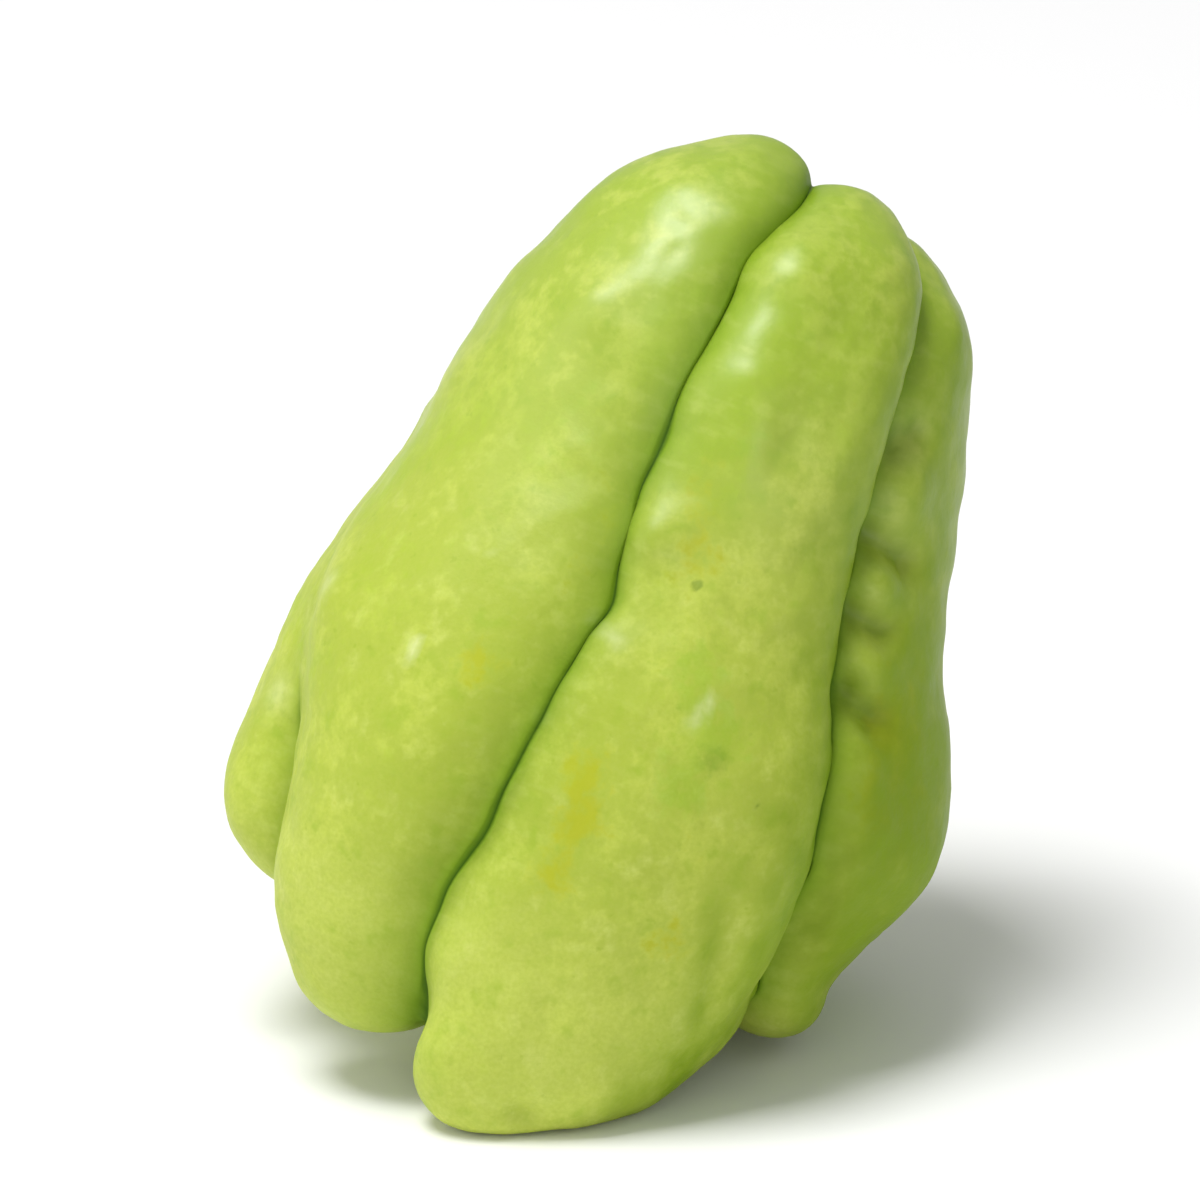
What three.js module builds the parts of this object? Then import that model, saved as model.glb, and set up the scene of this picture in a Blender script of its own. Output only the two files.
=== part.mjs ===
// A whole chayote: one pear-shaped green fruit with five uneven lobes parted by deep grooves. It leans to
// the right and back, and stands on the feet of three lobes. The fruit grew as one piece, so it is one solid.
//
// The outside is lofted round the fruit's axis. A ridge outline runs down the middle of each lobe, and a
// groove outline runs between neighbouring lobes. Both start at the blossom pole, under the fruit, and end
// at the stem scar on top. Across a lobe the surface swells from its groove up to its ridge and back down.
//
// Sizes are millimetres and degrees. Heights run along the fruit's axis, from a datum near its base.
// Bearings are taken round the axis from the front, positive to the right.
import * as THREE from "three";

const FRUIT_LENGTH = 109.5; // datum to the tallest crown
const BELLY_RADIUS = 41.5; // axis to the outside of the lobes at the widest level
const DEPTH_SHARE = 0.95; // front to back the fruit is a little flatter than it is wide
const GROOVE_DEPTH = 6.2; // outside of the lobes to the bottom of a groove, at the belly
const FOOT_RADIUS = 26; // axis to the lowest line of the feet
const HEEL_TAPER = 5.5; // how much less the lobes stand out at the outside of the feet than at the belly
const BLOSSOM_HEIGHT = 10; // the blossom pole, tucked up between the feet
const STEM_DIMPLE = 7; // tallest crown down to the stem scar
const GROOVE_SINK = 3; // crowns down to the grooves between them
const LEAN_RIGHT = 21.2; // of the axis from upright, towards +X
const LEAN_BACK = 16.5; // of the axis from upright, towards +Y
const DATUM_HEIGHT = 3; // the datum above the ground, where the axis meets it
const PRESS = 1.3; // how far the feet that stand would reach into the ground if they weren't flattened

// The levels above the feet. height is a share of the fruit's length, radius a share of the belly's, groove
// a share of the groove's depth at the belly, and lowered a share of how far the crown above it falls short.
const BELLY = { height: 0.33, radius: 1, groove: 1, lowered: 0 };
const WAIST = { height: 0.57, radius: 0.84, groove: 0.95, lowered: 0 };
const SHOULDER = { height: 0.79, radius: 0.725, groove: 0.9, lowered: 0.3 };
const BROW = { height: 0.93, radius: 0.53, groove: 0.75, lowered: 0.8 };
const CROWN = { height: 1, radius: 0.26, groove: 0.45, lowered: 1 };

// Where the outlines turn over between those levels and the poles. radius is a share of the foot's or the
// crown's, and tuck is the share of the way from there to the pole's height, on a ridge and in a groove.
const BLOSSOM_TURN = { radius: 0.32, ridgeTuck: 0.3, grooveTuck: 0.8 };
const STEM_TURN = { radius: 0.4, tuck: 0.55 };
const HEEL_RISE = 0.27; // the heel's height, as a share of the way from the foot to the belly
const FOOT_GROOVE = 0.4; // a groove's depth at the foot, as a share of its depth at the belly

// The five lobes, from the front left one round to the right. lift is the height of a lobe's sole above
// the ground, level is how far the sole lies along the ground (1) and not square to the axis (0), and drop
// is how far its crown falls short of the tallest. bulge is how far the lobe stands out from the shared
// outline at the foot, heel, belly, waist, shoulder, brow and crown.
const LOBES = [
  { lift: 9, level: 0.8, drop: 0, bulge: [-2, -2, 0, 0.3, 0.6, 0.4, -2] },
  { lift: -PRESS, level: 1, drop: 1.5, bulge: [3, 0.5, 0, 0, 0, 1.5, 0.5] },
  { lift: -PRESS, level: 0, drop: 5, bulge: [8, 0.5, 2, -1, -2, 1, 0.5] },
  { lift: -PRESS, level: 0, drop: 5, bulge: [1, 0, 0, 0, 0, 0, 0] },
  { lift: 18, level: 1, drop: 5, bulge: [0, 0, -1, -0.5, 0, 0, 0] },
];

// The grooves, each before the lobe of the same place in that list. lift is the height above the ground at
// which a groove turns under the fruit, and bearings are at the levels from foot to crown.
const GROOVES = [
  { lift: 20, bearings: [-68, -69, -77, -97, -96, -92, -92] },
  { lift: 11, bearings: [-17, -15, -10.5, -8, -6, -4, -2] },
  { lift: 12, bearings: [66, 58, 50, 43, 47, 55, 62] },
  { lift: 12, bearings: [172, 162, 140, 126, 120, 120, 120] },
  { lift: 16, bearings: [228, 224, 208, 196, 192, 190, 190] },
];

// Fineness of the surface: rings in each span of an outline, and steps across half a lobe.
const RINGS_PER_SPAN = [4, 4, 4, 6, 7, 7, 5, 4, 3, 2];
const HALF_LOBE_STEPS = 7;
const RISING = Array.from({ length: HALF_LOBE_STEPS }, (_, i) => i / HALF_LOBE_STEPS);
const FALLING = RISING.map((rise) => 1 - rise);
const STEP_CROWDING = 1.5; // above 1, the steps crowd towards the groove, where the surface turns most
const SOLE_SHARE = 0.2; // of an outline's spans, up to where the rings lie along the ground
const BELLY_SHARE = 0.45; // of an outline's spans, from where the rings are square to the axis
const FOOT_SWELL = 2.8; // how flat the top of a lobe is across at the foot; 2 is a plain ellipse
const CROWN_SWELL = 2.2; // the same at the crown
const ONE_TURN = 360;

const radians = THREE.MathUtils.degToRad;
const mix = THREE.MathUtils.lerp;
const lean = new THREE.Euler(-radians(LEAN_BACK), radians(LEAN_RIGHT), 0, "XYZ");
const up = new THREE.Vector3(0, 0, 1).applyQuaternion(new THREE.Quaternion().setFromEuler(lean).invert());

// A place in the fruit's own frame: x to the right, y to the back, z along the axis.
function place(bearing, radius, height) {
  const angle = radians(bearing);
  return new THREE.Vector3(radius * Math.sin(angle), -radius * Math.cos(angle) * DEPTH_SHARE, height);
}

// How high above the ground a place in the fruit's own frame is.
function clearance(point) {
  return point.dot(up) + DATUM_HEIGHT;
}

// The height along the axis at which a bearing and radius are a lift above the ground.
function heightOverGround(lift, bearing, radius) {
  return (lift - clearance(place(bearing, radius, 0))) / up.z;
}

// An outline is a smooth curve through points of radius, height and bearing, with a point for each ring.
function outline(points) {
  const curve = new THREE.CatmullRomCurve3(points.map((p) => new THREE.Vector3(...p)), false, "centripetal");
  const shares = RINGS_PER_SPAN.flatMap((rings, span) =>
    Array.from({ length: rings }, (_, i) => (span + i / rings) / RINGS_PER_SPAN.length),
  );
  return [...shares, 1].map((share) => curve.getPoint(share));
}

// The outline from pole to pole along a lobe's ridge, or along a groove, which is cut in by depth.
function meridian({ lift, bearings, bulge, drop, depth, tuck }) {
  const footRadius = FOOT_RADIUS + bulge[0] - FOOT_GROOVE * depth;
  const foot = heightOverGround(lift, bearings[0], footRadius);
  const heelHeight = mix(foot, BELLY.height * FRUIT_LENGTH, HEEL_RISE);
  const scarHeight = FRUIT_LENGTH - STEM_DIMPLE;
  const level = ({ height, radius, groove, lowered }, i) => [
    radius * BELLY_RADIUS + bulge[i] - groove * depth,
    height * FRUIT_LENGTH - lowered * drop,
    bearings[i],
  ];
  return outline([
    [0, BLOSSOM_HEIGHT, bearings[0]],
    [footRadius * BLOSSOM_TURN.radius, mix(foot, BLOSSOM_HEIGHT, tuck), bearings[0]],
    [footRadius, foot, bearings[0]],
    [BELLY_RADIUS - HEEL_TAPER + bulge[1] - depth, heelHeight, bearings[1]],
    level(BELLY, 2),
    level(WAIST, 3),
    level(SHOULDER, 4),
    level(BROW, 5),
    level(CROWN, 6),
    [
      CROWN.radius * BELLY_RADIUS * STEM_TURN.radius,
      mix(FRUIT_LENGTH - drop, scarHeight, STEM_TURN.tuck),
      bearings[6],
    ],
    [0, scarHeight, bearings[6]],
  ]);
}

function ridgeOutline(lobe, bearings) {
  return meridian({ ...lobe, bearings, depth: 0, tuck: BLOSSOM_TURN.ridgeTuck });
}

function grooveOutline(groove, before, after) {
  const bulge = before.bulge.map((b, i) => (b + after.bulge[i]) / 2);
  const drop = (before.drop + after.drop) / 2 + GROOVE_SINK;
  return meridian({ ...groove, bulge, drop, depth: GROOVE_DEPTH, tuck: BLOSSOM_TURN.grooveTuck });
}

// The rings of the loft, from the blossom pole to the stem scar.
function surfaceRings() {
  const count = LOBES.length;
  const grooves = GROOVES.map((groove, i) => grooveOutline(groove, LOBES[(i + count - 1) % count], LOBES[i]));
  const nextGrooves = grooves.map((_, i) => {
    const turn = i + 1 === count ? ONE_TURN : 0;
    return grooves[(i + 1) % count].map((p) => new THREE.Vector3(p.x, p.y, p.z + turn));
  });
  const ridges = LOBES.map((lobe, i) => {
    const turn = i + 1 === count ? ONE_TURN : 0;
    const next = GROOVES[(i + 1) % count].bearings;
    return ridgeOutline(lobe, GROOVES[i].bearings.map((bearing, k) => (bearing + next[k] + turn) / 2));
  });
  return ridges[0].map((_, k) => {
    const share = k / (ridges[0].length - 1);
    const swell = mix(FOOT_SWELL, CROWN_SWELL, share);
    const soleness = 1 - THREE.MathUtils.smoothstep(share, SOLE_SHARE, BELLY_SHARE);
    return ridges.flatMap((ridge, i) => {
      const level = LOBES[i].level * soleness;
      return [
        ...RISING.map((rise) => flank(grooves[i][k], ridge[k], rise, swell, level)),
        ...FALLING.map((rise) => flank(nextGrooves[i][k], ridge[k], rise, swell, level)),
      ];
    });
  });
}

// A point of a ring on the flank of a lobe, at a share of the way from the groove (0) to the ridge (1).
// level is how far the ring lies along the ground (1) and not square to the axis (0).
function flank(groove, ridge, rise, swell, level) {
  const across = Math.pow(rise, STEP_CROWDING);
  const risen = Math.sqrt(1 - Math.pow(1 - across, swell));
  const bearing = mix(groove.z, ridge.z, across);
  const radius = mix(groove.x, ridge.x, risen);
  const slope = heightOverGround(0, bearing, radius) - heightOverGround(0, ridge.z, radius);
  return place(bearing, radius, mix(groove.y, ridge.y + level * slope, risen));
}

// The flesh gives a little under the fruit's own weight, so what would be in the ground is flattened onto it.
function pressOntoGround(point) {
  return point.addScaledVector(up, Math.max(0, -clearance(point)));
}

function fruitGeometry() {
  const rings = surfaceRings();
  const around = rings[0].length;
  const body = rings.slice(1, -1);
  const points = [rings[0][0], ...body.flat(), rings.at(-1)[0]].map(pressOntoGround);
  const scar = points.length - 1;
  const index = [];
  const vertex = (ring, i) => 1 + ring * around + (i % around);
  for (let i = 0; i < around; i++) {
    index.push(0, vertex(0, i + 1), vertex(0, i));
    for (let ring = 1; ring < body.length; ring++) {
      index.push(vertex(ring - 1, i), vertex(ring - 1, i + 1), vertex(ring, i + 1));
      index.push(vertex(ring - 1, i), vertex(ring, i + 1), vertex(ring, i));
    }
    index.push(scar, vertex(body.length - 1, i), vertex(body.length - 1, i + 1));
  }
  const geometry = new THREE.BufferGeometry().setFromPoints(points);
  geometry.setIndex(index);
  geometry.computeVertexNormals();
  return geometry;
}

const skin = new THREE.MeshStandardMaterial({ color: 0xb4c85a, roughness: 0.42, metalness: 0 });

const fruit = new THREE.Mesh(fruitGeometry(), skin);
fruit.name = "fruit";
fruit.rotation.copy(lean);
fruit.position.z = DATUM_HEIGHT;

// The origin is on the ground, under the middle of the fruit's bounding box.
const chayote = new THREE.Group();
chayote.add(fruit);
chayote.updateMatrixWorld(true);
const middle = new THREE.Box3().setFromObject(fruit, true).getCenter(new THREE.Vector3());
fruit.position.x -= middle.x;
fruit.position.y -= middle.y;

export default chayote;
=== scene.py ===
# %% [markdown]
# # A chayote
# A chayote is a pear-shaped squash with pale green, waxy skin and five uneven lobes parted by deep grooves.
# The lesson starts from the plain solid of the fruit, which already has the right size, pose and lobes. It
# gives a copy of that solid the fine shape of the real thing, as a sculptor would, and then the skin.

# %% Load the frame
import math

import bmesh
import bpy
import numpy as np
from mathutils import Matrix, Vector, kdtree, noise
from mathutils.bvhtree import BVHTree


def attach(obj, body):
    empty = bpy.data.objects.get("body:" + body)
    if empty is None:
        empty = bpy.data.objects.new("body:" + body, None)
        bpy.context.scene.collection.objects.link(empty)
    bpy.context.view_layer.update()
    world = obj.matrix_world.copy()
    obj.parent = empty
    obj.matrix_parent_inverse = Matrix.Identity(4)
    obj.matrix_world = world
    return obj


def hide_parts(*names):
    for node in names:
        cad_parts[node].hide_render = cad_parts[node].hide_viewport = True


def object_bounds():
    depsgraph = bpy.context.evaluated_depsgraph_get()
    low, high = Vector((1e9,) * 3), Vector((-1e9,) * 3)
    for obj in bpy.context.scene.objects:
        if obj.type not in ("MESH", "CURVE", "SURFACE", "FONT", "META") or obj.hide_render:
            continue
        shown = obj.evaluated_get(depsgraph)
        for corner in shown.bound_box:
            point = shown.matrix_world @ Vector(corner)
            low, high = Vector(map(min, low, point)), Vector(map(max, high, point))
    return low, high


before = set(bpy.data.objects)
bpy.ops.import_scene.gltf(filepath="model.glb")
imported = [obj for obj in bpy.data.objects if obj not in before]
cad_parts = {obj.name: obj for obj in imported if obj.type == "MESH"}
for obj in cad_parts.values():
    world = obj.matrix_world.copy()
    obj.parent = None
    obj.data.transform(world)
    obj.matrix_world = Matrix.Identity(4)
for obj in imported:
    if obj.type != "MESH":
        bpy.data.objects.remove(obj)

MM = 0.001
cad_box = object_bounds()
lowest, highest = (Vector(corner) for corner in cad_box)
centre = (lowest + highest) / 2
fruit_size = highest - lowest
print("the solid measures", [round(side / MM, 1) for side in fruit_size], "mm")

# %% [markdown]
# ## The camera
# The fruit is seen from a little above its own height, through a long lens, as in a catalogue. A long lens
# keeps the near lobes from looking too big. Everything about the camera follows from the size of the fruit.

# %% Camera
VIEW_ELEVATION = math.radians(20)
VIEW_DISTANCE = 1.2  # metres
FRAME_FILL = 0.8  # how much of the picture's height the fruit takes up
SENSOR_WIDTH = 36  # millimetres

apparent_height = fruit_size.z * math.cos(VIEW_ELEVATION) + fruit_size.y / 2 * math.sin(VIEW_ELEVATION)
camera_data = bpy.data.cameras.new("camera")
camera_data.sensor_width = SENSOR_WIDTH
camera_data.lens = SENSOR_WIDTH * VIEW_DISTANCE * FRAME_FILL / apparent_height
camera = bpy.data.objects.new("camera", camera_data)
bpy.context.scene.collection.objects.link(camera)
towards_camera = Vector((0, -math.cos(VIEW_ELEVATION), math.sin(VIEW_ELEVATION)))
camera.location = centre + VIEW_DISTANCE * towards_camera
camera.rotation_euler = towards_camera.to_track_quat("Z", "Y").to_euler()
bpy.context.scene.camera = camera
print(f"a {camera_data.lens:.0f} mm lens at {VIEW_DISTANCE} m")

# %% [markdown]
# ## The studio
# The fruit stands on one pale sheet, under soft lamps. The strongest is above it, a little to the left, and
# puts the highlights on the crowns and the shadow on the sheet. A wide weak one on the left is like a
# window, and another in front, low down, lights the foot. So the lobes turn from bright on the left to deep
# green on the right, and a pale sky keeps the shaded side from going black.

# %% Floor
SHEET_SIZE = 6  # metres
SHEET_PAINT = (0.92, 0.92, 0.92, 1)

bpy.ops.object.select_all(action="DESELECT")
bpy.ops.mesh.primitive_plane_add(size=SHEET_SIZE, location=(0, 0, 0))
floor = bpy.context.object
floor.name = "floor"
floor_paint = bpy.data.materials.new("floor_paint")
floor_paint.use_nodes = True
floor_shader = floor_paint.node_tree.nodes["Principled BSDF"]
floor_shader.inputs["Base Color"].default_value = SHEET_PAINT
floor_shader.inputs["Roughness"].default_value = 1
floor.data.materials.append(floor_paint)
print(f"a sheet {SHEET_SIZE} m wide")

# %% Sky
SKY_STRENGTH = 0.42

sky = bpy.data.worlds.new("sky")
sky.use_nodes = True
sky.node_tree.nodes["Background"].inputs["Color"].default_value = (1, 1, 1, 1)
sky.node_tree.nodes["Background"].inputs["Strength"].default_value = SKY_STRENGTH
bpy.context.scene.world = sky
bpy.context.scene.view_settings.view_transform = "Standard"
print(f"a white sky of strength {SKY_STRENGTH}")

# %% Lamps
LAMP_DISTANCE = 1.6  # metres; the places given below are directions of about unit length


def softbox(name, place, width, watts):
    light = bpy.data.lights.new(name, "AREA")
    light.size = width
    light.energy = watts
    lamp = bpy.data.objects.new(name, light)
    bpy.context.scene.collection.objects.link(lamp)
    lamp.location = centre + LAMP_DISTANCE * Vector(place)
    lamp.rotation_euler = Vector(place).to_track_quat("Z", "Y").to_euler()
    print(f"{name}: {width} m wide, {watts} W")


softbox("window", place=(-0.9, -0.28, 0.42), width=1.4, watts=5.6)
softbox("top_lamp", place=(-0.25, -0.12, 1.0), width=0.66, watts=23)
softbox("low_lamp", place=(0.25, -0.95, 0.02), width=0.9, watts=5.6)

# %% [markdown]
# ## A copy to sculpt
# The solid is made of loose triangles. A copy of it has its doubled points merged and its triangles joined
# into four-sided faces, because those round off evenly. The two points where the most edges meet are the
# fruit's poles: the blossom end underneath, and the scar of the stem on top. They give the fruit its own
# directions, so a place on the skin can be told as a bearing round the axis and a height.

# %% Copy and merge
LOOSE = 0.01 * MM  # points closer than this are one

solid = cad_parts["fruit"]
bpy.ops.object.select_all(action="DESELECT")
fruit = solid.copy()
fruit.data = solid.data.copy()
fruit.name = "chayote"
fruit.parent = None
for key in [key for key in fruit.keys() if key.startswith("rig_")]:
    del fruit[key]
bpy.context.scene.collection.objects.link(fruit)
fruit.select_set(True)
bpy.context.view_layer.objects.active = fruit
bpy.ops.object.mode_set(mode="EDIT")
bpy.ops.mesh.select_all(action="SELECT")
bpy.ops.mesh.remove_doubles(threshold=LOOSE)
bpy.ops.object.mode_set(mode="OBJECT")
print(f"{len(solid.data.vertices)} loose points, {len(fruit.data.vertices)} once merged")

# %% Poles and directions
edges_meeting = np.zeros(len(fruit.data.vertices), int)
for edge in fruit.data.edges:
    edges_meeting[list(edge.vertices)] += 1
poles = [fruit.data.vertices[i].co.copy() for i in np.argsort(edges_meeting)[-2:]]
blossom_end, stem_end = sorted(poles, key=lambda pole: pole.z)
axis = (stem_end - blossom_end).normalized()
back = axis.cross(Vector((1, 0, 0))).normalized()
right = back.cross(axis)
fruit_length = (stem_end - blossom_end).length / MM
to_fruit = Matrix((right, back, axis))
print(f"the axis is {fruit_length:.1f} mm from pole to pole, and leans "
      f"{math.degrees(axis.angle(Vector((0, 0, 1)))):.0f} degrees")

# %% Four-sided faces, and sharp grooves
GROOVE_ANGLE = math.radians(35)  # a hollow edge sharper than this is the bottom of a groove
ANY_ANGLE = math.pi
ROWS_FIRST = 2  # pairs of triangles are chosen to make straight rows of faces

bpy.ops.object.mode_set(mode="EDIT")
bpy.ops.mesh.select_all(action="SELECT")
bpy.ops.mesh.tris_convert_to_quads(
    face_threshold=ANY_ANGLE, shape_threshold=ANY_ANGLE, topology_influence=ROWS_FIRST)
bpy.ops.mesh.select_all(action="DESELECT")
bpy.ops.mesh.select_mode(type="EDGE")
sketch = bmesh.from_edit_mesh(fruit.data)
groove_line = []
for edge in sketch.edges:
    if edge.is_manifold and not edge.is_convex and edge.calc_face_angle() > GROOVE_ANGLE:
        edge.select_set(True)
        groove_line.append([v.co.copy() for v in edge.verts])
bmesh.update_edit_mesh(fruit.data)
bpy.ops.transform.edge_crease(value=1)
bpy.ops.object.mode_set(mode="OBJECT")
print(f"{len(fruit.data.polygons)} faces, {len(groove_line)} edges along the grooves")

# %% Round it off
rounding = fruit.modifiers.new("rounding", "SUBSURF")
rounding.levels = rounding.render_levels = 2
bpy.ops.object.modifier_apply(modifier="rounding")
bpy.ops.object.shade_smooth()
print(f"{len(fruit.data.polygons)} faces once rounded")

# %% [markdown]
# ## Tools for sculpting
# The fine shape could be pushed in by hand with a brush, but then nobody could change one number and try
# again. So the brushes are written down instead. The points are handled all at once, as an array in
# millimetres in the fruit's own directions. A tool reads them, works out how far each one moves, and puts
# them back. The distance of every point from the nearest groove is found once, because most of the fine
# shape happens beside the grooves.


# %% Reading and moving points
FLATNESS = 0.95  # depth of the fruit from front to back, as a share of its width


def read_points():
    points = np.empty(len(fruit.data.vertices) * 3)
    fruit.data.vertices.foreach_get("co", points)
    return (points.reshape(-1, 3) - np.array(blossom_end)) @ np.array(to_fruit).T / MM


def write_points(points, step):
    furthest = np.linalg.norm(points - read_points(), axis=1).max()
    print(f"{step}: points moved by up to {furthest:.1f} mm")
    points = points * MM @ np.array(to_fruit) + np.array(blossom_end)
    points[:, 2] = np.maximum(points[:, 2], 0)  # nothing reaches into the floor
    fruit.data.vertices.foreach_set("co", points.ravel())
    fruit.data.update()


def read_normals():
    normals = np.empty(len(fruit.data.vertices) * 3)
    fruit.data.vertex_normals.foreach_get("vector", normals)
    return normals.reshape(-1, 3) @ np.array(to_fruit).T


SEED_STEPS = (17.3, 5.1, 11.7)  # how far from each other two seeds read the same noise


def grain(points, size, seed):
    """Smooth noise from -1 to 1 whose lumps are size millimetres, which may differ along each direction."""
    shift = Vector([seed * step for step in SEED_STEPS])
    return np.array([noise.noise(Vector(point) + shift) for point in points / size])


def ease(value, start, end):
    """0 before start, 1 past end, and smooth between them."""
    share = np.clip((value - start) / (end - start), 0, 1)
    return share * share * (3 - 2 * share)


# %% Places on the skin
FAR_OUT = 100 * MM  # well outside the fruit


def skin_point(bearing, height):
    """The place where a line straight in towards the axis meets the skin."""
    angle = math.radians(bearing)
    out = (right * math.sin(angle) - back * FLATNESS * math.cos(angle)).normalized()
    start = blossom_end + axis * height * MM + out * FAR_OUT
    spot, facing, *_ = skin_tree.ray_cast(start, -out)
    return np.array(to_fruit @ (spot - blossom_end)) / MM, np.array(to_fruit @ facing)


# %% Distance from the grooves
GROOVE_SAMPLES = 8  # on each edge of a groove line
CLOSE = 0.1  # millimetres; nearer than this, a point counts as in the groove

samples = [a.lerp(b, i / GROOVE_SAMPLES) for a, b in groove_line for i in range(GROOVE_SAMPLES)]
groove_tree = kdtree.KDTree(len(samples))
for i, sample in enumerate(samples):
    groove_tree.insert(sample, i)
groove_tree.balance()
nearest = [groove_tree.find(v.co) for v in fruit.data.vertices]
from_groove = np.array([distance for _, _, distance in nearest]) / MM
rightward = [(v.co - place).dot(right) for v, (place, _, _) in zip(fruit.data.vertices, nearest)]
rightward = np.array(rightward) / MM / np.maximum(from_groove, CLOSE)  # -1 left of a groove, 1 right of it
print(f"the middle of a lobe is up to {from_groove.max():.0f} mm from a groove")

# %% [markdown]
# ## Softer lips
# The solid's lobes meet in a sharp corner. On the fruit the skin rolls into the groove over a few
# millimetres. A bevel would round the corner evenly, but the lips are not even. A smoothing that acts only
# beside the grooves rounds the lips and fills the corner a little.

# %% Softer lips
ROLL = 4.0  # millimetres from the groove over which the lips are rounded
ROLL_STEPS = 70
STEP = 0.5  # how much of the way to its neighbours' middle a point goes at each step


def smooth_out(weights, steps):
    chosen = fruit.vertex_groups.new(name="chosen")
    for i, weight in enumerate(weights):
        chosen.add([i], float(weight), "REPLACE")
    smoothing = fruit.modifiers.new("smoothing", "SMOOTH")
    smoothing.factor = STEP
    smoothing.iterations = steps
    smoothing.vertex_group = chosen.name
    bpy.ops.object.modifier_apply(modifier="smoothing")
    fruit.vertex_groups.clear()


def falloff(distance, reach):
    """1 at no distance, and dying out softly over about twice the reach."""
    return np.exp(-((distance / reach) ** 2))


smooth_out(falloff(from_groove, ROLL), ROLL_STEPS)
print(f"lips rounded over {ROLL} mm")

# %% [markdown]
# ## A fuller right side
# The solid is a little narrow. Scaling it would thicken the crown too, so the body is slid to the right,
# except for the low left flank. The belly grows wider there, and the crown leans over a little more.

# %% Slide to the right
BODY_SLIDE = 1.2  # millimetres
STAYS_BELOW = (25, 50)  # heights above the table between which the left flank starts to follow
STAYS_WITHIN = (5, 35)  # distances from the left side between which the rest starts to follow

points = read_points()
world = points @ np.array(to_fruit) + np.array(blossom_end) / MM
left_share = 1 - ease(world[:, 0] - lowest.x / MM, *STAYS_WITHIN)
low_share = 1 - ease(world[:, 2], *STAYS_BELOW)
world[:, 0] += BODY_SLIDE * (1 - left_share * low_share)
write_points((world - np.array(blossom_end) / MM) @ np.array(to_fruit).T, "slide")

# %% [markdown]
# ## A groove that fades out
# No two grooves are alike. The one on the far left fades out as it climbs, until the two lobes beside it
# are nearly one. Many steps of smoothing melt its sides together there, and the smoothing comes in and dies
# out softly, so that no border shows.

# %% Fade the left groove
LEFT_GROOVE = (-115, -40)  # bearings from and to
SIDE_MARGIN = 10  # degrees over which an effect dies out beyond its bearings
HEIGHTS = (26, 66)  # where it is faded
MARGIN = 18  # millimetres over which the fading comes in below and dies out above
FADE_REACH = 6.0
FADE_STEPS = 400


def bearings(points):
    return np.degrees(np.arctan2(points[:, 0], -points[:, 1] / FLATNESS))


def within(value, low, high, margin):
    return ease(value, low - margin, low) * (1 - ease(value, high, high + margin))


points = read_points()
faded = within(bearings(points), *LEFT_GROOVE, SIDE_MARGIN) * within(points[:, 2], *HEIGHTS, MARGIN)
smooth_out(faded * falloff(from_groove, FADE_REACH), FADE_STEPS)
print(f"the left groove is faded between heights {HEIGHTS[0]} and {HEIGHTS[1]} mm")

# %% [markdown]
# ## Filled and bent grooves
# The other grooves differ in depth and in their course. The front one is shallow, above all low down, and
# lies further left, above all at the foot. So the skin beside a groove is pushed out from the axis to fill
# it, between chosen bearings and heights, or slid round the axis to bend it, near a chosen place.

# %% Filling
FILLS = [  # push and reach in millimetres, bearings from and to, heights over which it starts and stops
    (2.2, 7.0, (-115, -40), (6, 30), (68, 84)),  # the left groove
    (1.1, 3.4, (-32, 14), (-20, 0), (74, 88)),  # the front groove
    (0.8, 2.5, (-34, 0), (-32, -14), (16, 40)),  # the front groove, low down
]


def outward(points):
    flat = points * [1, 1, 0]
    return flat / np.maximum(np.linalg.norm(flat, axis=1), 1)[:, None]


points = read_points()
moves = np.zeros_like(points)
for push, reach, (first, last), starts, stops in FILLS:
    share = within(bearings(points), first, last, SIDE_MARGIN) * ease(points[:, 2], *starts)
    share *= (1 - ease(points[:, 2], *stops)) * falloff(from_groove, reach)
    moves += push * share[:, None] * outward(points)
print(f"grooves filled by up to {np.linalg.norm(moves, axis=1).max():.1f} mm")

# %% Bending
BENDS = [  # slide to the right and reach in millimetres, then bearing and height
    (-1.5, 13, (-12, 25)),  # the front groove, from foot to crown
    (-3.1, 11, (-16, 4)),
    (-2.2, 8, (-5, 58)),
    (-2.0, 9, (-6, 71)),
    (-2.2, 8, (-4, 84)),
    (1.2, 3.5, (-8, 43)),  # a small kink in it
    (-2.2, 12, (46, 28)),  # the right groove
    (3.0, 15, (-76, 22)),  # the left groove
]


def sideways(points):
    out = outward(points)
    return np.column_stack([-out[:, 1], out[:, 0], out[:, 2]])


skin_tree = BVHTree.FromObject(fruit, bpy.context.evaluated_depsgraph_get())
for slide, reach, place in BENDS:
    distance = np.linalg.norm(points - skin_point(*place)[0], axis=1)
    moves += slide * falloff(distance, reach)[:, None] * sideways(points)
write_points(points + moves, "filling and bending")

# %% [markdown]
# ## Grooves that wander
# No groove on a chayote runs straight: its two lips bulge against each other in turn. The skin beside a
# groove is slid sideways, a little this way and a little that way as the groove climbs. The slide dies out
# towards the middle of the lobes.

# %% Wander
WANDER = 0.6  # millimetres sideways
WANDER_GRAIN = np.array([40, 40, 16.0])  # millimetres, twice across the axis and once along it
KINK = 0.25  # millimetres sideways
KINK_GRAIN = np.array([30, 30, 6.0])
NOISE_GAIN = 2  # smooth noise seldom goes past a half
LIP_REACH = 9.0  # how far from a groove its lips slide along
WANDER_STARTS = (4, 12)  # distances from the axis over which it starts, so the poles stay put


def from_axis(points):
    return np.hypot(points[:, 0], points[:, 1])


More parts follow.
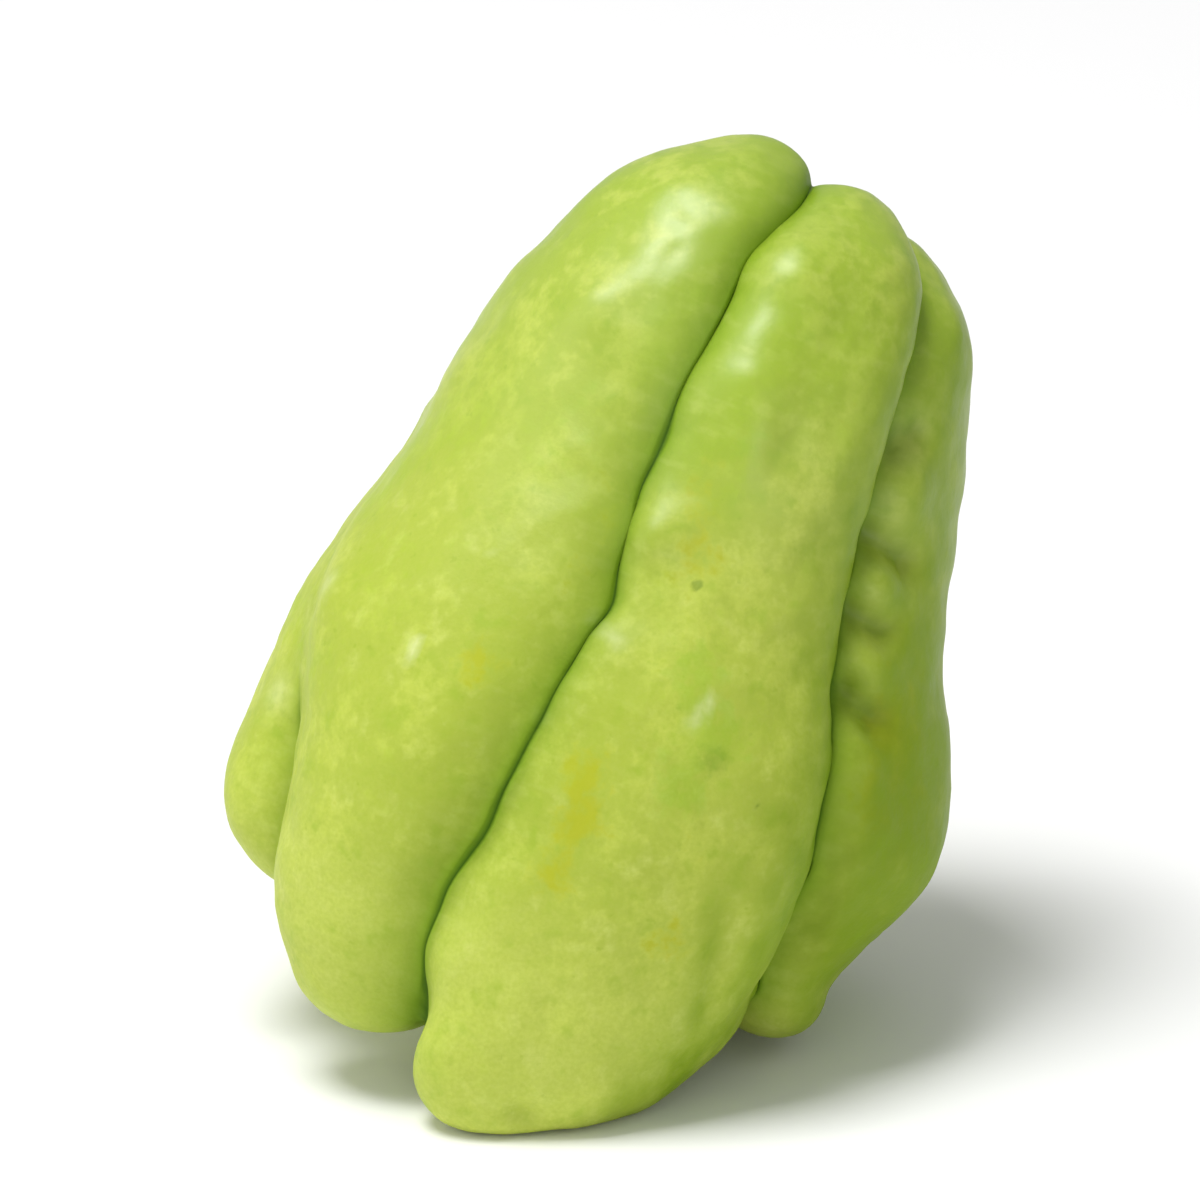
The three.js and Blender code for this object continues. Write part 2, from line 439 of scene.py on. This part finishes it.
points = read_points()
bend = WANDER * grain(points, WANDER_GRAIN, seed=1)
bend += KINK * grain(points, KINK_GRAIN, seed=2)
bend *= NOISE_GAIN * falloff(from_groove, LIP_REACH) * ease(from_axis(points), *WANDER_STARTS)
points += sideways(points) * bend[:, None]
write_points(points, "wander")

# %% [markdown]
# ## Puckers and slits
# Near a groove the skin is gathered, like cloth along a seam, into short folds that run across the groove.
# They are strongest down in the groove, and come in patches. The groove itself ends in a narrow slit where
# the lobes touch.

# %% Puckers
PUCKER_DEPTH = 0.55
PUCKER_GRAIN = np.array([16, 16, 5.5])
PUCKER_REACH = 6.0
PUCKER_PATCH = 26  # size of the puckered patches
PATCH_EDGE = (-0.25, 0.4)  # noise over which a patch comes in

points = read_points()
puckers = grain(points, PUCKER_GRAIN, seed=3)
patches = ease(grain(points, PUCKER_PATCH, seed=4), *PATCH_EDGE)
beside = falloff(from_groove, PUCKER_REACH)
puckers = PUCKER_DEPTH * puckers * patches * beside
points += read_normals() * puckers[:, None]
print(f"puckers up to {np.abs(puckers).max():.1f} mm")

# %% Slits
SLIT_DEPTH = 0.5
SLIT_WIDTH = 0.6
SLIT_STARTS = (4, 14)  # distances from the axis over which it starts

slit = SLIT_DEPTH * falloff(from_groove, SLIT_WIDTH)
slit *= 1 - faded
points -= outward(points) * (slit * ease(from_axis(points), *SLIT_STARTS))[:, None]
write_points(points, "puckers and slits")

# %% [markdown]
# ## Lumps
# The lobes are never quite smooth. Four layers of soft lumps, from broad to fine, break up the light on
# the skin, so that a highlight gets an uneven edge.

# %% Lumps
LUMPS = [(0.8, 24, 5), (0.5, 10, 6), (0.2, 5, 9), (0.12, 2.8, 7)]  # height and size in mm, and seed

points = read_points()
relief = sum(lump_height * grain(points, size, seed) for lump_height, size, seed in LUMPS)
points += read_normals() * relief[:, None]
write_points(points, "lumps")

# %% [markdown]
# ## Marks pressed by growth
# Some bumps and dents are too particular for noise: a knuckle on the lip of the front groove, folds in the
# wall of the right one, pits on the crowns. Each is placed by its bearing and height and pushed in or out.
# A fold or a furrow is pressed along the line between two such places.

# %% How near a mark is
FACING_ALIKE = (-0.1, 0.5)  # a mark takes hold over this, as the skin turns to face its way
TINY = 1e-9  # keeps the length of a mark with a single place from being nothing


def nearness(points, normals, places, reach):
    """1 on the line between the first place and the last, falling off over reach millimetres. Skin that
    faces another way, such as the far wall of a groove, is left out."""
    (first, facing), (last, _) = skin_point(*places[0]), skin_point(*places[-1])
    along = last - first
    share = np.clip((points - first) @ along / max(along @ along, TINY), 0, 1)
    distance = np.linalg.norm(points - first - share[:, None] * along, axis=1)
    return falloff(distance, reach) * ease(normals @ facing, *FACING_ALIKE)


# %% Bumps, dents and folds
FOLDS = [  # in the wall of the right groove, given as the marks are
    (-1.5, 2.2, (50, 72), (56, 74)),
    (-2.2, 2.0, (47, 61), (59, 59.5)),
    (-1.8, 2.0, (46, 52), (53, 51)),
    (-2.2, 2.2, (48, 43), (54, 41)),
]
MARKS = FOLDS + [  # push and reach in millimetres, then the place or the two ends, as bearing and height
    (1.7, 3.4, (-3.5, 52.5)),  # the knuckle on the lip of the front groove
    (0.7, 4.5, (-5, 37)),  # a low swelling below it
    (1.2, 3.6, (54, 67)),  # swellings between the folds and below them
    (1.5, 3.6, (50, 56)),
    (1.2, 3.4, (51, 46.5)),
    (0.8, 4.5, (50, 35)),
    (0.8, 5.0, (66, 14)),  # the flank of the right lobe
    (3.2, 8.0, (78, 4)),  # a fuller heel on the right
    (1.8, 8.0, (-80, 4)),  # and on the far left
    (-0.22, 1.1, (-30, 87)),  # pits on the crowns
    (-0.18, 0.9, (-26, 84)),
    (-0.25, 1.2, (19, 92)),
    (-0.3, 3.5, (-4, 88), (-7, 76)),  # a lip that falls away
    (0.8, 6.0, (8, 85), (6, 74)),  # soft humps that catch the light
    (1.1, 5.0, (6, 87)),
    (1.3, 6.0, (2.5, 73)),
    (0.5, 2.5, (9, 68)),
    (0.4, 2.0, (10, 64)),
    (0.9, 4.0, (-38, 74)),
    (-0.7, 2.2, (32, 15), (39, 3)),  # a furrow and two dents low on the front lobe
    (-0.5, 2.5, (10, -4)),
    (-0.4, 2.5, (25, 3)),
    (-1.4, 2.2, (15, -16)),  # dents and swellings at its foot
    (0.8, 4.0, (26, -11)),
    (-1.2, 4.0, (-16, -9)),
    (0.9, 4.0, (-8, -13)),
    (0.5, 3.0, (-10, -3)),
    (-0.8, 4.0, (-60, 17), (-60, 6)),  # the furrow beside the left groove
    (0.6, 4.0, (-58, 32)),  # and a swelling above it
    (0.3, 0.7, (-35.6, 30)),  # a small scar
]

skin_tree = BVHTree.FromObject(fruit, bpy.context.evaluated_depsgraph_get())
points = read_points()
normals = read_normals()
moves = np.zeros(len(points))
for push, reach, *places in MARKS:
    moves += push * nearness(points, normals, places, reach)
points += normals * moves[:, None]
write_points(points, f"{len(MARKS)} marks")

# %% [markdown]
# ## Two scars
# Where the stem broke off, the crowns of the lobes meet round a small corky button. Under the fruit the
# flower has left a smaller one. Each is raised a little, with a dip in its middle.

# %% Scars
BUTTONS = [(fruit_length, 1, 2.2, 1.3), (0, -1, 1.6, 0.8)]  # height, way out, radius and rise
BUTTON_EDGE = (0.8, 1.25)  # of the radius: where the button starts to fall, and where it ends
BUTTON_DIP = 0.6  # of the rise
DIP_RADIUS = 0.7  # of the radius

points = read_points()
for height, way_out, button_radius, rise in BUTTONS:
    distance = np.linalg.norm(points - [0, 0, height], axis=1)
    button = 1 - ease(distance, *(share * button_radius for share in BUTTON_EDGE))
    dip = BUTTON_DIP * (1 - ease(distance, 0, DIP_RADIUS * button_radius))
    points[:, 2] += way_out * rise * (button - dip)
    print(f"a button {2 * button_radius:.1f} mm across at height {height:.0f} mm")
write_points(points, "scars")

# %% [markdown]
# ## Where the colours go
# Much of the fruit's colour depends on its shape: a groove is deep green, partly its own colour and partly
# painted shade, and the right side is greener than the left, which is painted shade. It could be painted on
# an image, but the skin would have to be unfolded for that. Instead each such effect is worked out here for
# every point, as a number from 0 to 1, and stored under its own name as a layer of the mesh. The material
# reads the layers by name and breaks some of them up with noise.


# %% Layers for the grooves
def paint_layer(name, values):
    layer = fruit.data.attributes.new(name, "FLOAT", "POINT")
    layer.data.foreach_set("value", np.clip(values, 0, 1).astype(np.float32))
    print(f"layer {name}: {np.clip(values, 0, 1).mean():.3f} on average")


GROOVE_REACH = 2.2  # millimetres from the groove over which a layer fades to about a third
CREASE_REACH = 0.6
BESIDE_REACH = 7.0
WALL_REACH = 5.0
WALL_BEARINGS = (-45, 10)  # the front groove, whose left wall lies in shade
WALL_SIDE = (-0.4, 0.4)  # the shade ends over this, from left of the groove to right of it
LOST_IN_GROOVE = 0.9  # how much of the green goes where the left groove is faded
LOST_BESIDE = 0.7

points = read_points()
normals = read_normals()
paint_layer("groove", np.exp(-from_groove / GROOVE_REACH) * (1 - LOST_IN_GROOVE * faded))
paint_layer("crease", falloff(from_groove, CREASE_REACH) * (1 - faded))
paint_layer("beside", np.exp(-from_groove / BESIDE_REACH) * (1 - LOST_BESIDE * faded))
wall = np.exp(-from_groove / WALL_REACH) * (1 - ease(rightward, *WALL_SIDE))
paint_layer("shaded_wall", wall * within(bearings(points), *WALL_BEARINGS, SIDE_MARGIN) * (1 - faded))

# %% Layers for the height, and for the painted shade on the right side
SHADE_FACING = (0.3, 0.9)  # how much a point faces right, for the painted shade on that side
RIGHT_SHADE_STARTS = (38, 62)  # bearings over which the painted shade's deep green comes in, and then goes
RIGHT_SHADE_STOPS = (110, 160)
RIGHT_SHADE_LOW = (4, 18)  # heights over which it comes in, and over which it weakens
RIGHT_SHADE_HIGH = (32, 70)
LEFT_BELOW = 0.2  # how much of it is there at the foot
LOST_ABOVE = 0.75  # how much of it is gone at the crown

paint_layer("rise", points[:, 2] / fruit_length)
paint_layer("shade_side", ease(normals[:, 0], *SHADE_FACING))
# painted shade: a deeper green on the right side, weaker at the crown and at the foot
right_shade = ease(bearings(points), *RIGHT_SHADE_STARTS) * (1 - ease(bearings(points), *RIGHT_SHADE_STOPS))
weaker_above = 1 - LOST_ABOVE * ease(points[:, 2], *RIGHT_SHADE_HIGH)
weaker_below = LEFT_BELOW + (1 - LEFT_BELOW) * ease(points[:, 2], *RIGHT_SHADE_LOW)
paint_layer("right_shade", right_shade * weaker_above * weaker_below)

# %% Layers for marks in the skin's colour, for painted highlights and for the painted shade in the folds
# strength and reach in millimetres, then the place or the two ends, as bearing and height
BLOTCHES = [  # yellow, where the skin ripens first
    (0.7, 4, (-23, 32)),
    (0.35, 4, (-13, 56), (-14, 46)),
    (0.8, 3.5, (0.7, 25), (2, 19)),
    (0.7, 3.5, (1.3, 12)),
    (0.5, 3.5, (24, 10)),
    (0.5, 3, (1.7, 62), (6, 52)),
    (1.2, 6, (62, 42), (60, 33)),
    (0.3, 5, (-9, 0)),
]
FRESH = [  # greener patches
    (0.7, 4.0, (12, 40), (16, 26)),
    (0.6, 3.5, (22, 34)),
    (0.5, 4.0, (8, 66)),
    (0.4, 5.0, (-32, 66), (-26, 58)),
    (0.5, 4, (-20, 8)),
]
DOTS = [  # dark green pin-pricks and the speckled patches round them
    (1.0, 0.9, (7.4, 49)),
    (0.7, 0.5, (23.7, 35)),
    (0.7, 0.5, (28.5, 27.7)),
    (0.6, 3.0, (19, 31)),
    (0.4, 2.5, (11, 35)),
]
PALE_SCARS_AND_GLINTS = [  # healed scratches, then pale marks that are painted highlights
    (1.0, 0.5, (-35.6, 31.2), (-35.2, 29)),
    (0.6, 0.4, (-30, 44)),
    # painted highlights: glints on the left flank and pale streaks on the front lobe near its groove
    (0.45, 1.6, (-61.6, 32.9)),
    (0.4, 2.2, (-76.8, 18)),
    (0.5, 0.8, (-8.5, 41.1), (-2.3, 39.6)),
    (0.4, 1.0, (-10.1, 28.6)),
    (0.5, 0.7, (15.7, 37.5), (13.8, 34.1)),
]
FOLD_SHADE = 0.8  # how wide the painted shade in a fold is, as a share of its reach


def spots(marks):
    return sum(strength * nearness(points, normals, places, reach) for strength, reach, *places in marks)


skin_tree = BVHTree.FromObject(fruit, bpy.context.evaluated_depsgraph_get())
paint_layer("stain", spots(BLOTCHES))
paint_layer("fresh", spots(FRESH))
paint_layer("dots", spots(DOTS))
paint_layer("scars_and_glints", spots(PALE_SCARS_AND_GLINTS))
paint_layer("fold", spots([(1, FOLD_SHADE * reach, *places) for _, reach, *places in FOLDS]))

# %% Layers for the scars
SCAR_EDGE = (1.8, 2.6)  # millimetres from the stem's scar over which the cork ends
BLOSSOM_SCAR_LESS = 0.6  # by how much the one underneath is smaller
CORK_LINE_REACH = 0.5  # a thin line of cork runs out of each scar along the grooves
CORK_LINE_ENDS = (4, 12)  # millimetres from the scar over which it ends

to_stem = np.linalg.norm(points - [0, 0, fruit_length], axis=1)
to_blossom = np.linalg.norm(points, axis=1)
paint_layer("scar", 1 - ease(np.minimum(to_stem, to_blossom + BLOSSOM_SCAR_LESS), *SCAR_EDGE))
cork_line_end = 1 - ease(np.minimum(to_stem, to_blossom), *CORK_LINE_ENDS)
paint_layer("cork_line", falloff(from_groove, CORK_LINE_REACH) * cork_line_end)

# %% [markdown]
# ## A way to write a material
# A material is a tree of nodes, and wiring it up by hand in code hides what it does. The small class Wire
# stands for a socket, and sums on it add the nodes that do them, so the skin below reads as arithmetic.
# The class Finish holds the material and has one way to add any other node.


# %% Wires
class Wire:
    """A socket that can be used in sums."""

    def __init__(self, finish, socket):
        self.finish = finish
        self.socket = socket

    def maths(self, operation, other, swap=False):
        pair = [other, self] if swap else [self, other]
        return self.finish.node("ShaderNodeMath", {"operation": operation}, {0: pair[0], 1: pair[1]})

    def __add__(self, other):
        return self.maths("ADD", other)

    __radd__ = __add__

    def __mul__(self, other):
        return self.maths("MULTIPLY", other)

    __rmul__ = __mul__

    def __sub__(self, other):
        return self.maths("SUBTRACT", other)

    def __rsub__(self, other):
        return self.maths("SUBTRACT", other, swap=True)

    def __pow__(self, other):
        return self.maths("POWER", other)

    def __rpow__(self, other):
        return self.maths("POWER", other, swap=True)


# %% A material that is written as sums
class Finish:
    """A material and the one way to add a node to it."""

    def __init__(self, name):
        self.material = bpy.data.materials.new(name)
        self.material.use_nodes = True
        self.tree = self.material.node_tree
        self.shader = self.tree.nodes["Principled BSDF"]
        self.place = self.node("ShaderNodeTexCoord", output="Object")

    def plug(self, socket, value):
        if isinstance(value, Wire):
            self.tree.links.new(value.socket, socket)
        else:
            socket.default_value = value

    def node(self, kind, settings=None, inputs=None, output=0):
        made = self.tree.nodes.new(kind)
        for name, value in (settings or {}).items():
            setattr(made, name, value)
        for name, value in (inputs or {}).items():
            self.plug(made.inputs[name], value)
        return Wire(self, made.outputs[output])

    def layer(self, name):
        return self.node("ShaderNodeAttribute", {"attribute_name": name}, output="Fac")

    def cloud(self, size, detail, seed):
        """Soft noise from 0 to 1 whose lumps are about size millimetres."""
        settings = {"noise_dimensions": "4D"}
        inputs = {"Vector": self.place, "W": seed, "Scale": 1 / (size * MM), "Detail": detail}
        return self.node("ShaderNodeTexNoise", settings, inputs)

    def between(self, value, start, end):
        """0 before start, 1 past end, and smooth between them."""
        settings = {"interpolation_type": "SMOOTHSTEP"}
        inputs = {"Value": value, "From Min": start, "From Max": end}
        return self.node("ShaderNodeMapRange", settings, inputs)

    def mix(self, colour, other, share):
        return self.node("ShaderNodeMix", {"data_type": "RGBA"}, {0: share, 6: colour, 7: other}, output=2)


def paint(red, green, blue):
    """A colour as a painter's palette gives it, from 0 to 255, made linear."""
    return tuple(((c / 255 + 0.055) / 1.055) ** 2.4 for c in (red, green, blue)) + (1,)


skin = Finish("waxy_skin")
print("an empty material called", skin.material.name)

# %% [markdown]
# ## The skin's patterns
# Fruit skin is never one green. Clouds of noise at several sizes break it up, from patches as wide as a
# thumb down to a grain that is barely seen. The fine wrinkles beside the grooves run round the fruit, so
# their noise is turned along its axis and squeezed.

# %% Patterns
WRINKLE = (9 * MM, 9 * MM, 1.8 * MM)  # long round the fruit, and fine along it

broad = skin.cloud(22, detail=3, seed=1)
medium = skin.cloud(7, detail=3, seed=2)
patch = skin.cloud(3.6, detail=3, seed=21)
fine = skin.cloud(1.6, detail=3, seed=3)
turn = to_fruit.transposed().to_euler()
along = skin.node("ShaderNodeMapping", {"vector_type": "TEXTURE"},
                  {"Vector": skin.place, "Rotation": turn, "Scale": WRINKLE})
wrinkles = skin.node("ShaderNodeTexNoise", None, {"Vector": along, "Scale": 1.0, "Detail": 2.0})
rise = skin.layer("rise")
crown = skin.between(rise, start=0.3, end=0.85)
groove = skin.layer("groove")
print("wrinkles of", [round(side / MM, 1) for side in WRINKLE], "mm")


def ragged(value, noise_wire, amount):
    """A value whose edge is broken up by noise."""
    return value + (noise_wire - 0.5) * amount


# %% [markdown]
# ## The ground colour
# The skin is a yellow-green that turns fresher towards the crown, and paler at the foot, partly its own
# colour and partly painted light bounced up from the floor. Each colour below is a coat laid over the ones
# before, where its mask says and as thickly as its strength says.

# %% Ground colour
BELLY_GREEN = paint(171, 186, 70)
CROWN_GREEN = paint(154, 180, 38)
LIGHT_CLOUD = paint(200, 211, 92)
GREEN_CLOUD = paint(156, 184, 38)
PALE_FOOT_AND_BOUNCE = paint(204, 214, 104)


def coat(colour, over, mask, strength):
    return skin.mix(colour, over, mask * strength)


colour = skin.mix(BELLY_GREEN, CROWN_GREEN, skin.between(ragged(rise, broad, 0.5), start=0.45, end=0.95))
light_clouds = skin.between(ragged(medium, fine, 0.6), start=0.42, end=0.7)
colour = coat(colour, LIGHT_CLOUD, light_clouds, strength=0.5)
green_clouds = skin.between(ragged(broad, fine, 0.5), start=0.5, end=0.68)
colour = coat(colour, GREEN_CLOUD, green_clouds, strength=0.55)
# paler at the foot: partly the blossom end's own colour, partly painted light bounced up from the floor
foot_and_bounce = skin.between(ragged(rise, medium, 0.2), start=0.16, end=-0.14)
colour = coat(colour, PALE_FOOT_AND_BOUNCE, foot_and_bounce, strength=0.8)
print(f"the ground colour and its clouds: {len(skin.tree.nodes)} nodes so far")

# %% Mottling
PALE_MOTTLE = paint(208, 215, 120)
GREEN_MOTTLE = paint(144, 176, 40)
GRAIN = paint(160, 180, 56)
STREAK = paint(208, 218, 116)
SPECK = paint(138, 166, 40)

pale_mottles = skin.between(ragged(patch, fine, 0.5), start=0.5, end=0.9) * (1 - crown * 0.7)
colour = coat(colour, PALE_MOTTLE, pale_mottles, strength=0.5)
green_mottles = skin.between(ragged(patch, fine, 0.5), start=0.46, end=0.2)
colour = coat(colour, GREEN_MOTTLE, green_mottles, strength=0.45)
skin_grain = skin.between(skin.cloud(0.55, detail=2, seed=11), start=0.3, end=0.7)
colour = coat(colour, GRAIN, skin_grain, strength=0.3)
streaks = skin.between(ragged(wrinkles, fine, 0.4), start=0.5, end=0.72)
colour = coat(colour, STREAK, streaks * skin.layer("beside"), strength=0.35)
specks = skin.between(skin.cloud(1.4, detail=2, seed=8), start=0.66, end=0.76)
colour = coat(colour, SPECK, specks, strength=0.3)
print(f"with mottles, grain, streaks and specks: {len(skin.tree.nodes)} nodes")

# %% [markdown]
# ## Stains and shade
# Yellow blotches show where the skin ripens first. The right side of the fruit, and all skin that faces
# right, get a deeper green that is painted shade. The skin down in the grooves is deeper green too, partly
# its own colour and partly painted shade, where the little light there is has bounced from lobe to lobe.
# These colours follow the layers.

# %% Stains
BLOTCH = paint(174, 180, 34)
DOT = paint(100, 130, 34)
FRESH_GREEN = paint(136, 176, 30)
SCRATCH_AND_GLINT = paint(226, 232, 176)
RIGHT_SHADE_GREEN = paint(108, 128, 6)
SHADE_GREEN = paint(124, 152, 4)

blotch = skin.between(ragged(ragged(skin.layer("stain"), medium, 1.2), fine, 1.4), start=0.3, end=0.85)
colour = coat(colour, BLOTCH, blotch, strength=0.85)
# painted shade: a deeper green on the right side
colour = coat(colour, RIGHT_SHADE_GREEN, skin.layer("right_shade"), strength=0.8 + (0.5 - patch) * 1.2)
# painted shade: a deeper green on all skin that faces right, away from the lamps
colour = coat(colour, SHADE_GREEN, skin.layer("shade_side"), strength=0.78 + (0.5 - patch) * 1.2)
dots = skin.between(ragged(skin.layer("dots"), fine, 0.9), start=0.3, end=0.7)
colour = coat(colour, DOT, dots, strength=0.55)
fresh = skin.between(ragged(ragged(skin.layer("fresh"), patch, 1.2), fine, 1.2), start=0.35, end=0.8)
colour = coat(colour, FRESH_GREEN, fresh, strength=0.4)
# healed scratches, and painted highlights
colour = coat(colour, SCRATCH_AND_GLINT, skin.layer("scars_and_glints"), strength=fine + 0.3)
print(f"with blotches, dots, fresh patches and scratches: {len(skin.tree.nodes)} nodes")

# %% Grooves and scars
BESIDE_GREEN_AND_SHADE = paint(134, 162, 32)
WALL_SHADE_GREEN = paint(118, 146, 20)
GROOVE_GREEN_AND_SHADE = paint(96, 134, 4)
CREASE_SHADE_GREEN = paint(52, 86, 0)
FOLD_SHADE_GREEN = paint(58, 84, 10)
CORK_LINE = paint(168, 166, 110)
LIGHT_CORK = paint(150, 122, 62)
DARK_CORK = paint(96, 70, 34)
BESIDE_POWER = 2.0  # a power above 1 draws a layer in towards the groove
CREASE_POWER = 1.6

# beside the grooves: partly the skin's own greener colour, partly painted shade
colour = coat(colour, BESIDE_GREEN_AND_SHADE, skin.layer("beside") ** BESIDE_POWER, strength=0.5)
# painted shade on the left wall of the front groove
colour = coat(colour, WALL_SHADE_GREEN, skin.layer("shaded_wall"), strength=0.7)
# down in the grooves: partly the skin's own deep green, partly painted shade
colour = coat(colour, GROOVE_GREEN_AND_SHADE, groove, strength=0.9)
# painted shade: a dark line at the bottom of each groove
colour = coat(colour, CREASE_SHADE_GREEN, skin.layer("crease") ** CREASE_POWER, strength=0.95)
# painted shade in the folds of the right groove's wall
colour = coat(colour, FOLD_SHADE_GREEN, skin.layer("fold"), strength=0.28)
colour = coat(colour, CORK_LINE, skin.layer("cork_line"), strength=0.7)
cork = skin.mix(LIGHT_CORK, DARK_CORK, skin.between(fine, start=0.4, end=0.6))
colour = skin.mix(colour, cork, skin.layer("scar"))
skin.plug(skin.shader.inputs["Base Color"], colour)
print(f"with grooves, folds and scars: {len(skin.tree.nodes)} nodes")

# %% [markdown]
# ## Wax and flesh
# The skin has a thin coat of wax, which shines on the crowns and has been rubbed dull lower down and on the
# right. Under it the flesh is pale and wet: light goes in, scatters and comes out a little further along,
# which softens the shadows and tints them green. The wax is a clear coat over the shader's own roughness.

# %% Wax and flesh
ROUGHNESS = 0.52
SMOOTHED_BY_WAX = 0.14
ROUGHER_IN_GROOVE = 0.35
WAX = 0.85
WAX_LOST_DEEP = 0.7  # where the two layers of the right side are full
WAX_LOST_SIDE = 0.8
FLESH_SCATTER = 2.5 * MM
FLESH_TINT = (0.8, 1.0, 0.25)  # how far red, green and blue light travel in it, one against another

gloss = crown
rough = ragged(ragged(ROUGHNESS - gloss * SMOOTHED_BY_WAX, medium, 0.2), fine, 0.15)
skin.plug(skin.shader.inputs["Roughness"], rough + groove * ROUGHER_IN_GROOVE)
waxed = gloss * (1 - groove) * (1 - skin.layer("right_shade") * WAX_LOST_DEEP)
waxed = waxed * (1 - skin.layer("shade_side") * WAX_LOST_SIDE)
skin.plug(skin.shader.inputs["Coat Weight"], waxed * WAX)
skin.shader.inputs["Coat Roughness"].default_value = 0.43
skin.shader.inputs["Coat IOR"].default_value = 1.6
skin.shader.inputs["IOR"].default_value = 1.32
skin.shader.inputs["Specular IOR Level"].default_value = 0.35
skin.shader.inputs["Subsurface Weight"].default_value = 0.25
skin.shader.inputs["Subsurface Radius"].default_value = FLESH_TINT
skin.shader.inputs["Subsurface Scale"].default_value = FLESH_SCATTER
print(f"light scatters over {FLESH_SCATTER / MM} mm")

# %% [markdown]
# ## Fine relief
# The pores, the fine bumps and the wrinkles beside the grooves are too small to shape point by point, so
# they are a bump: they turn the light without moving the skin. The waxy crowns are smoother.

# %% Fine relief
BUMP_HEIGHT = 0.3 * MM
BUMP_STRENGTH = 0.6
FINE_SHARE = 0.4  # heights as shares of the broad bumps'
PORE_SHARE = 0.1
WRINKLE_SHARE = 1.6
CALMED_BY_WAX = 0.6

relief = skin.cloud(3.2, detail=2, seed=6)
relief = relief + skin.cloud(0.9, detail=2, seed=5) * FINE_SHARE * (1 - gloss * CALMED_BY_WAX)
relief = relief + skin.cloud(0.4, detail=1, seed=12) * PORE_SHARE
relief = relief + wrinkles * skin.layer("beside") * (1 - gloss) * WRINKLE_SHARE
bump = skin.node("ShaderNodeBump", None,
                 {"Strength": BUMP_STRENGTH, "Distance": BUMP_HEIGHT, "Height": relief})
skin.plug(skin.shader.inputs["Normal"], bump)

fruit.data.materials.clear()
fruit.data.materials.append(skin.material)
print(f"the whole skin: {len(skin.tree.nodes)} nodes")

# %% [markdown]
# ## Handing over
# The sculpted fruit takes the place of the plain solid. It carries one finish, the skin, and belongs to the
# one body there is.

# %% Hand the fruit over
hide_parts("fruit")
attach(fruit, "root")
print(f"{fruit.name} has {len(fruit.data.polygons)} faces")
